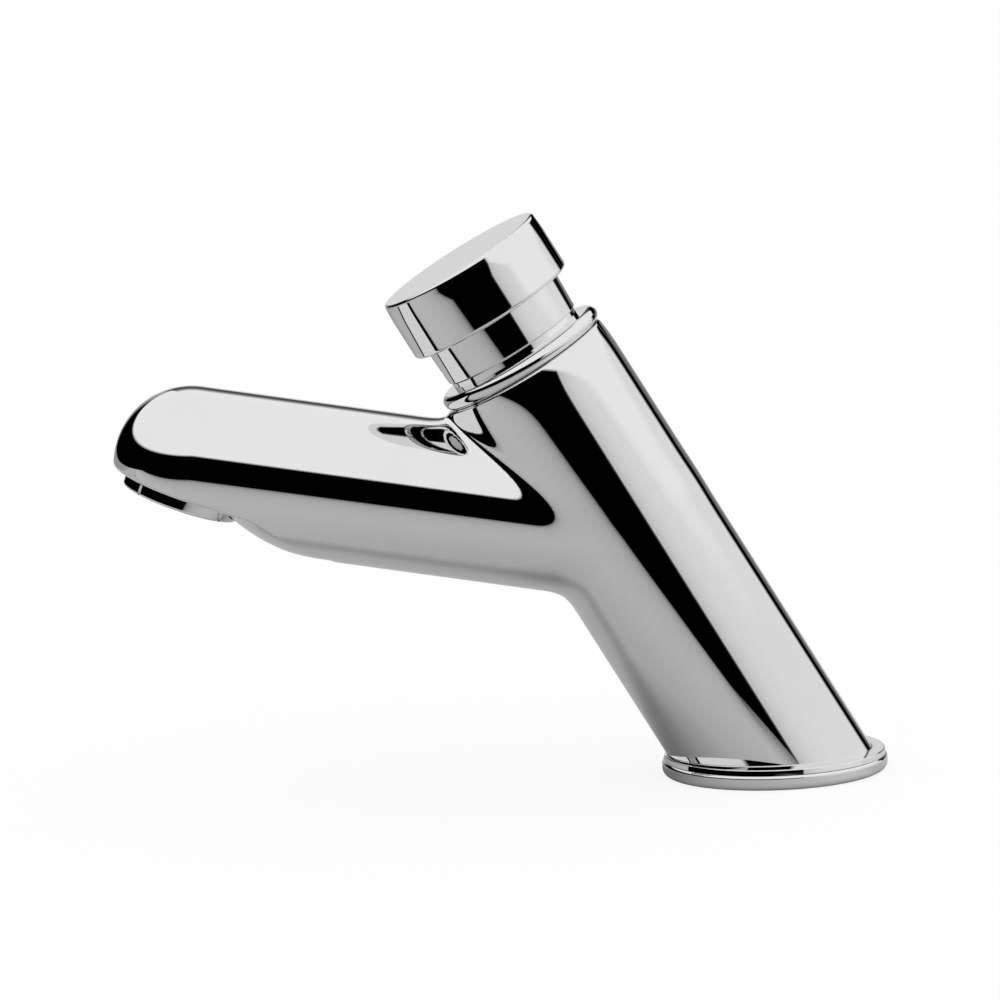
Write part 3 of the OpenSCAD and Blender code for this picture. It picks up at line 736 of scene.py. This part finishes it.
def made_by_rule(name, start, last, material, values):
    """A piece with the plain mesh that a tree makes from the values of its inputs."""
    whole = start.node("GeometryNodeRealizeInstances", None, {"Geometry": last})
    whole = start.node("GeometryNodeSetMaterial", None, {"Geometry": whole, "Material": material})
    leave = start.tree.nodes.new("NodeGroupOutput")
    start.tree.links.new(whole.socket, leave.inputs["Geometry"])
    piece = new_piece(name, bpy.data.meshes.new(name))
    rule = piece.modifiers.new("rule", "NODES")
    rule.node_group = start.tree
    for item in start.tree.interface.items_tree:
        if item.in_out == "INPUT":
            rule[item.identifier] = values[item.name]
    work_in_modifiers(piece)
    return piece


def wire(start, path, thickness, sides):
    """Round wire along a path, with closed ends."""
    section = start.node(
        "GeometryNodeCurvePrimitiveCircle", None, {"Resolution": sides, "Radius": thickness / 2}
    )
    drawn = start.node(
        "GeometryNodeCurveToMesh", None, {"Curve": path, "Profile Curve": section, "Fill Caps": True}
    )
    return start.node("GeometryNodeSetShadeSmooth", None, {"Geometry": drawn, "Shade Smooth": True})


start, put = geometry_tree(
    "coil_spring",
    [
        ("Coil Radius", "NodeSocketFloat"), ("Wire", "NodeSocketFloat"), ("Turns", "NodeSocketFloat"),
        ("Height", "NodeSocketFloat"), ("End Pitch", "NodeSocketFloat"),
    ],
)
path = start.node(
    "GeometryNodeCurveSpiral", None,
    {
        "Resolution": 48, "Rotations": put["Turns"], "Start Radius": put["Coil Radius"],
        "End Radius": put["Coil Radius"], "Height": 0.0,
    },
)
turns_done = start.node("GeometryNodeSplineParameter") * put["Turns"]
open_turns = put["Turns"] - 2.0
open_pitch = (put["Height"] - 2.0 * put["End Pitch"]) / open_turns
first_turn = start.math("MINIMUM", turns_done, 1.0)
middle_turns = start.math("MINIMUM", start.math("MAXIMUM", turns_done - 1.0, 0.0), open_turns)
last_turn = start.math("MAXIMUM", turns_done - 1.0 - open_turns, 0.0)
rise = (first_turn + last_turn) * put["End Pitch"] + middle_turns * open_pitch
lift = start.node("ShaderNodeCombineXYZ", None, {"Z": rise})
path = start.node("GeometryNodeSetPosition", None, {"Geometry": path, "Offset": lift})
coil = wire(start, path, put["Wire"], 16)
coil = start.node(
    "GeometryNodeTransform", None,
    {
        "Geometry": coil, "Rotation": (0, -LEAN, 0),
        "Translation": Vector(COLUMN_FOOT + (BONNET_FLOOR + COIL_START) * COLUMN_UP) * MM,
    },
)
spring = made_by_rule(
    "return_spring_coil", start, coil, steel,
    {
        "Coil Radius": COIL_R * MM, "Wire": COIL_WIRE * MM, "Turns": float(COIL_TURNS),
        "Height": COIL_HEIGHT * MM, "End Pitch": END_PITCH * MM,
    },
)
wear(spring, steel, "tap", "return_spring")
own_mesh(spring)

# Push button
# A chromed brass cap with a boss inside, screwed on the stem and locked by a nut from below. Its
# mouth is relieved, so that a dark gap shows round the neck.
BUTTON_R = 19.45
BUTTON_FOOT = 121.3
BUTTON_TOP = 135.2
CROWN_START = 131.8
CROWN_R = 40.0
CROWN_TOP_R = 19.2
CEILING = 132.2
BUTTON_BORE_R = 16.75
MOUTH_R = 18.2
MOUTH_TOP = 128.3
BOSS_R = 6.5
BOSS_FOOT = 121.2
SCREW_HOLE_R = 3.05
SCREW_HOLE_TOP = 130.2
button = turned(
    "push_button_turned",
    [
        (MOUTH_R, BUTTON_FOOT, 0.2), (BUTTON_R, BUTTON_FOOT, 0.9), (BUTTON_R, CROWN_START, CROWN_R),
        (CROWN_TOP_R, BUTTON_TOP, 0.8), (0.0, BUTTON_TOP), (0.0, SCREW_HOLE_TOP),
        (SCREW_HOLE_R, SCREW_HOLE_TOP), (SCREW_HOLE_R, BOSS_FOOT), (BOSS_R, BOSS_FOOT, 0.3),
        (BOSS_R, CEILING, 0.6), (BUTTON_BORE_R, CEILING, 0.8), (BUTTON_BORE_R, MOUTH_TOP),
        (MOUTH_R, MOUTH_TOP, 0.4),
    ],
    COLUMN_FOOT, COLUMN_UP,
)
wear(button, chrome, "plunger", "push_button")
dress(steel, "lock_nut")

# Aerator
# A chromed ring screwed up into the nose against a rubber gasket, with slots in its rim for the key.
# It holds a moulded insert full of holes, and over it a woven steel screen with a rolled edge.
RIM_R = 13.2
RIM_H = 3.0
BARREL_R = 11.4
BARREL_DEPTH = 7.5
MOUTHPIECE_R = 8.7
LEDGE_H = 2.2
KEY_SLOT_SIZE = (4.0 * MM, 0.9 * MM, 2.0 * MM)
KEY_SLOT_TURNS = (45, 135, 225, 315)
aerator = turned(
    "aerator_housing_turned",
    [
        (OUTLET_R, -BARREL_DEPTH), (BARREL_R, -BARREL_DEPTH, 0.4), (BARREL_R, 0.0), (RIM_R, 0.0, 0.2),
        (RIM_R, RIM_H, 0.6), (MOUTHPIECE_R, RIM_H, 0.2), (MOUTHPIECE_R, LEDGE_H), (OUTLET_R, LEDGE_H),
    ],
    OUTLET_SEAT, OUTLET_OUT,
)
outlet_turn = Vector((0, 0, 1)).rotation_difference(Vector(OUTLET_OUT)).to_matrix().to_4x4()
outlet_place = Matrix.Translation(Vector(OUTLET_SEAT) * MM) @ outlet_turn
for turn in KEY_SLOT_TURNS:
    slot_tool = bmesh.new()
    place = Matrix.Rotation(math.radians(turn), 4, "Z")
    place = place @ Matrix.Translation(((RIM_R + 0.4) * MM, 0, RIM_H * MM))
    size = Matrix.Diagonal((*KEY_SLOT_SIZE, 1))
    bmesh.ops.create_cube(slot_tool, size=1.0, matrix=outlet_place @ place @ size)
    joined(aerator, slot_tool, "DIFFERENCE")
smooth_by_angle(aerator.data, 28)
even = aerator.modifiers.new("even_shading", "WEIGHTED_NORMAL")
even.keep_sharp = True
work_in_modifiers(aerator)
wear(aerator, chrome, "tap", "aerator_housing")
dress(plastic, "aerator_insert")
dress(rubber, "aerator_gasket")

SCREEN_DEPTH = 3.2
start, put = geometry_tree(
    "woven_screen",
    [
        ("Radius", "NodeSocketFloat"), ("Pitch", "NodeSocketFloat"), ("Wire", "NodeSocketFloat"),
        ("Wires", "NodeSocketInt"), ("Edge", "NodeSocketFloat"),
    ],
)
first_wire = (put["Wires"] - 1.0) * put["Pitch"] * -0.5
row = start.node(
    "GeometryNodeMeshLine", None,
    {
        "Count": put["Wires"],
        "Start Location": start.node("ShaderNodeCombineXYZ", None, {"Y": first_wire}),
        "Offset": start.node("ShaderNodeCombineXYZ", None, {"Y": put["Pitch"]}),
    },
)
straight = start.node("GeometryNodeCurvePrimitiveLine", None, {"Start": (-1, 0, 0), "End": (1, 0, 0)})
straight = start.node("GeometryNodeResampleCurve", None, {"Curve": straight, "Count": 112})
spot = start.node("GeometryNodeInputPosition")
across = start.node("ShaderNodeSeparateXYZ", None, {"Vector": spot}, out=1)
half = start.math("SQRT", put["Radius"] * put["Radius"] - across * across)
length = start.node("ShaderNodeCombineXYZ", None, {"X": half, "Y": 1.0, "Z": 1.0})
wires = start.node(
    "GeometryNodeInstanceOnPoints", None, {"Points": row, "Instance": straight, "Scale": length}
)
wires = start.node("GeometryNodeRealizeInstances", None, {"Geometry": wires})
along = start.node("ShaderNodeSeparateXYZ", None, {"Vector": spot}, out=0)
crossing = (along + across) * math.pi / put["Pitch"]
weave = start.math("COSINE", crossing) * put["Wire"] * 0.5
wires = start.node(
    "GeometryNodeSetPosition", None,
    {"Geometry": wires, "Offset": start.node("ShaderNodeCombineXYZ", None, {"Z": weave})},
)
others = start.node(
    "GeometryNodeTransform", None,
    {"Geometry": wires, "Rotation": (0, 0, math.pi / 2), "Scale": (1, 1, -1)},
)
cloth = start.node("GeometryNodeJoinGeometry", None, {"Geometry": [wires, others]})
cloth = wire(start, cloth, put["Wire"], 6)
edge_path = start.node(
    "GeometryNodeCurvePrimitiveCircle", None, {"Resolution": 96, "Radius": put["Radius"]}
)
edge = wire(start, edge_path, put["Edge"], 12)
cloth = start.node("GeometryNodeJoinGeometry", None, {"Geometry": [cloth, edge]})
cloth = start.node(
    "GeometryNodeTransform", None,
    {
        "Geometry": cloth, "Rotation": (0, math.pi + OUTLET_TILT, 0),
        "Translation": Vector(OUTLET_SEAT - SCREEN_DEPTH * OUTLET_OUT) * MM,
    },
)
screen_cloth = made_by_rule(
    "aerator_screen_woven", start, cloth, steel,
    {"Radius": 9.0 * MM, "Pitch": 0.9 * MM, "Wire": 0.3 * MM, "Wires": 19, "Edge": 0.75 * MM},
)
wear(screen_cloth, steel, "tap", "aerator_screen")

# Studio
# A white room over a pale floor. Only the polished metal sees the grey table, which fades to black
# towards its front edge and has painted shadow under the spout and at the tap's foot and painted light
# right of the tap; the screen round it, which is black in front, white on the right and grey behind; a
# dark card behind the spout; and a low lip on the table before the column, which has a painted glow.
world = bpy.data.worlds.new("white_room")
world.use_nodes = True
world.node_tree.nodes["Background"].inputs["Color"].default_value = (1, 1, 1, 1)
bpy.context.scene.world = world


def stage_piece(name, points, faces, material):
    mesh = bpy.data.meshes.new(name)
    mesh.from_pydata(points, [], faces)
    mesh.materials.append(material)
    piece = new_piece(name, mesh)
    return piece


def stage_paint(name, surface):
    """A material for the studio, from the shader that surface() makes."""
    material = bpy.data.materials.new(name)
    material.use_nodes = True
    tree = material.node_tree
    tree.nodes.clear()
    start = Link(tree)
    shader = surface(start, start.node("ShaderNodeTexCoord", out=3))
    out = tree.nodes.new("ShaderNodeOutputMaterial")
    tree.links.new(shader.socket, out.inputs["Surface"])
    return material


def grey_ramp(start, value, stops):
    """A grey that follows a value through stops of (value, brightness)."""
    low, high = stops[0][0], stops[-1][0]
    share = start.node("ShaderNodeMapRange", None, {"Value": value, "From Min": low, "From Max": high})
    marks = [((v - low) / (high - low), (g, g, g, 1)) for v, g in stops]
    return start.node("ShaderNodeValToRGB", {"stops": marks}, {"Fac": share})


def floor_surface(start, place):
    camera = start.node("ShaderNodeLightPath", out=0)
    glossy = start.node("ShaderNodeLightPath", out=5)
    clear = start.node("ShaderNodeLightPath", out=8)
    paint = start.node("ShaderNodeBsdfDiffuse", None, {"Color": (0.95, 0.95, 0.95, 1)})
    glow = start.node("ShaderNodeEmission", None, {"Color": (1, 1, 1, 1), "Strength": 1.0})
    seen = start.math("MINIMUM", camera + glossy + clear, 1.0)
    return start.node("ShaderNodeMixShader", None, {0: seen * 0.85, 1: paint, 2: glow})


def table_surface(start, place):
    across = start.node("ShaderNodeSeparateXYZ", None, {"Vector": place}, out=0)
    deep = start.node("ShaderNodeSeparateXYZ", None, {"Vector": place}, out=1)
    # Painted shadow: the grey dips from 0.58 to 0.43 in a band across the table at the tap's depth. It
    # stands in for the spout's shadow on the table.
    depth = grey_ramp(
        start, deep,
        [
            (-0.60, 0.0), (-0.305, 0.0), (-0.285, 0.22), (-0.25, 0.38), (-0.21, 0.47), (-0.15, 0.53),
            (-0.09, 0.58), (-0.016, 0.58), (-0.006, 0.43), (0.001, 0.43), (0.016, 0.54), (0.2, 0.5),
            (0.28, 0.38), (0.60, 0.34),
        ],
    )
    # Painted light: the table's grey is raised by up to 0.25 to the right of the tap, from a little in
    # front of it backwards.
    side = grey_ramp(start, across, [(-0.1, 0.0), (0.0, 0.0), (0.06, 0.25), (0.2, 0.25)])
    near = start.node("ShaderNodeMapRange", None, {"Value": deep, "From Min": -0.1, "From Max": -0.05})
    both = start.node(
        "ShaderNodeMix", {"data_type": "RGBA", "blend_type": "ADD"}, {0: near, 6: depth, 7: side}, out=2
    )
    # Painted shadow: the grey is darkened to 0.72 within 14 mm of a spot 34 mm left of the tap's
    # middle, easing out by 36 mm. It stands in for the tap's contact shadow under the spout.
    from_painted_shadow = start.math("SQRT", (across + 0.034) * (across + 0.034) + deep * deep)
    painted_shadow = grey_ramp(start, from_painted_shadow, [(0.0, 0.72), (0.014, 0.74), (0.036, 1.0), (0.1, 1.0)])
    grey = start.node(
        "ShaderNodeMix", {"data_type": "RGBA", "blend_type": "MULTIPLY"},
        {0: 1.0, 6: both, 7: painted_shadow}, out=2,
    )
    return start.node("ShaderNodeBsdfDiffuse", None, {"Color": grey})


def screen_surface(start, place):
    x, y, z = (start.node("ShaderNodeSeparateXYZ", None, {"Vector": place}, out=k) for k in range(3))
    round_angle = start.math("ARCTAN2", x, y * -1.0) * (180 / math.pi)
    low = grey_ramp(
        start, round_angle,
        [
            (-180, 0.4), (-160, 0.4), (-152, 0.0), (28, 0.0), (29.5, 0.62), (37, 0.735), (44, 0.785),
            (50, 0.83), (75, 0.87), (136, 0.87), (141, 0.0), (149, 0.0), (153, 0.14), (163, 0.24),
            (176, 0.36), (180, 0.36),
        ],
    )
    share = start.node("ShaderNodeMapRange", None, {"Value": z, "From Min": 0.53, "From Max": 0.60})
    light = share.mix(low, (1, 1, 1, 1))
    past_right = start.math("GREATER_THAN", round_angle, 176.0)
    past_left = start.math("LESS_THAN", round_angle, -165.0)
    behind = past_right + past_left
    back = grey_ramp(
        start, z,
        [
            (0.0, 0.75), (0.27, 0.75), (0.285, 0.3), (0.34, 0.13), (0.49, 0.06), (0.64, 0.127),
            (0.80, 0.5), (0.95, 1.0), (1.4, 1.0),
        ],
    )
    both = behind.mix(light, back)
    return start.node("ShaderNodeEmission", None, {"Color": both, "Strength": 1.0})


def square(half, level):
    return [(-half, -half, level), (half, -half, level), (half, half, level), (-half, half, level)]


SCREEN_R = 1.3
SCREEN_H = 1.4
SCREEN_SIDES = 180
FLOOR_HALF = 4
ABOVE_FLOOR = 0.0001
ONE_FACE = [(0, 1, 2, 3)]
stage_piece("floor", square(FLOOR_HALF, 0), ONE_FACE, stage_paint("floor_paint", floor_surface))
table = stage_piece(
    "table", square(SCREEN_R, ABOVE_FLOOR), ONE_FACE, stage_paint("table_paint", table_surface)
)
turns = [2 * math.pi * k / SCREEN_SIDES for k in range(SCREEN_SIDES)]
rim = [(SCREEN_R * math.cos(a), SCREEN_R * math.sin(a)) for a in turns]
panels = [(k, (k + 1) % SCREEN_SIDES) for k in range(SCREEN_SIDES)]
screen = stage_piece(
    "screen",
    [(x, y, 0.0) for x, y in rim] + [(x, y, SCREEN_H) for x, y in rim],
    [(a, b, SCREEN_SIDES + b, SCREEN_SIDES + a) for a, b in panels],
    stage_paint("screen_paint", screen_surface),
)


def card_surface(start, place):
    return start.node("ShaderNodeEmission", None, {"Color": (0, 0, 0, 1), "Strength": 1.0})


dark_card = stage_piece(
    "dark_card",
    [(0.06, 0.17, 0.127), (-0.04, 0.2, 0.127), (-0.04, 0.2, 0.19), (0.06, 0.17, 0.19)],
    ONE_FACE, stage_paint("card_paint", card_surface),
)


# Painted light: the lip glows with a grey of 0.53 at the table that darkens to 0.16 at its top. It is
# clear to the left and fully glowing from 30 mm to the right.
def lip_painted_light_surface(start, place):
    x, _, z = (start.node("ShaderNodeSeparateXYZ", None, {"Vector": place}, out=k) for k in range(3))
    grey = grey_ramp(start, z, [(0.0, 0.53), (0.006, 0.44), (0.015, 0.16)])
    glow = start.node("ShaderNodeEmission", None, {"Color": grey, "Strength": 1.0})
    clear = start.node("ShaderNodeBsdfTransparent")
    share = start.node("ShaderNodeMapRange", None, {"Value": x, "From Min": -0.005, "From Max": 0.03})
    return start.node("ShaderNodeMixShader", None, {0: share, 1: clear, 2: glow})


LIP_Y = -0.125
LIP_H = 0.0145
table_lip = stage_piece(
    "table_lip",
    [(-0.03, LIP_Y, 0.0), (0.12, LIP_Y, 0.0), (0.12, LIP_Y, LIP_H), (-0.03, LIP_Y, LIP_H)],
    ONE_FACE, stage_paint("lip_painted_light", lip_painted_light_surface),
)
for card in (table, screen, dark_card, table_lip):
    card.visible_camera = False
    card.visible_shadow = False
    card.visible_diffuse = False

CAMERA_ANGLES = (0.763, 9.588, -2.189)
AIM = Vector((-0.058726, 0, 0.062972))
DISTANCE = 2.587
PIXEL = 0.000221
PICTURE = 1000
SENSOR = 36
azimuth, elevation, roll = (math.radians(a) for a in CAMERA_ANGLES)
level_out = math.cos(elevation)
back = Vector((math.sin(azimuth) * level_out, -math.cos(azimuth) * level_out, math.sin(elevation)))
right = Vector((math.cos(azimuth), math.sin(azimuth), 0))
above = back.cross(right)
side = math.cos(roll) * right + math.sin(roll) * above
top = -math.sin(roll) * right + math.cos(roll) * above
camera_data = bpy.data.cameras.new("photo_camera")
camera = new_piece("photo_camera", camera_data)
place = Matrix((side, top, back)).transposed().to_4x4()
place.translation = AIM + back * DISTANCE
camera.matrix_world = place
camera_data.sensor_width = SENSOR
camera_data.lens = DISTANCE / PIXEL * SENSOR / PICTURE
camera_data.clip_end = 50
bpy.context.scene.camera = camera
bpy.context.scene.view_settings.view_transform = "Standard"
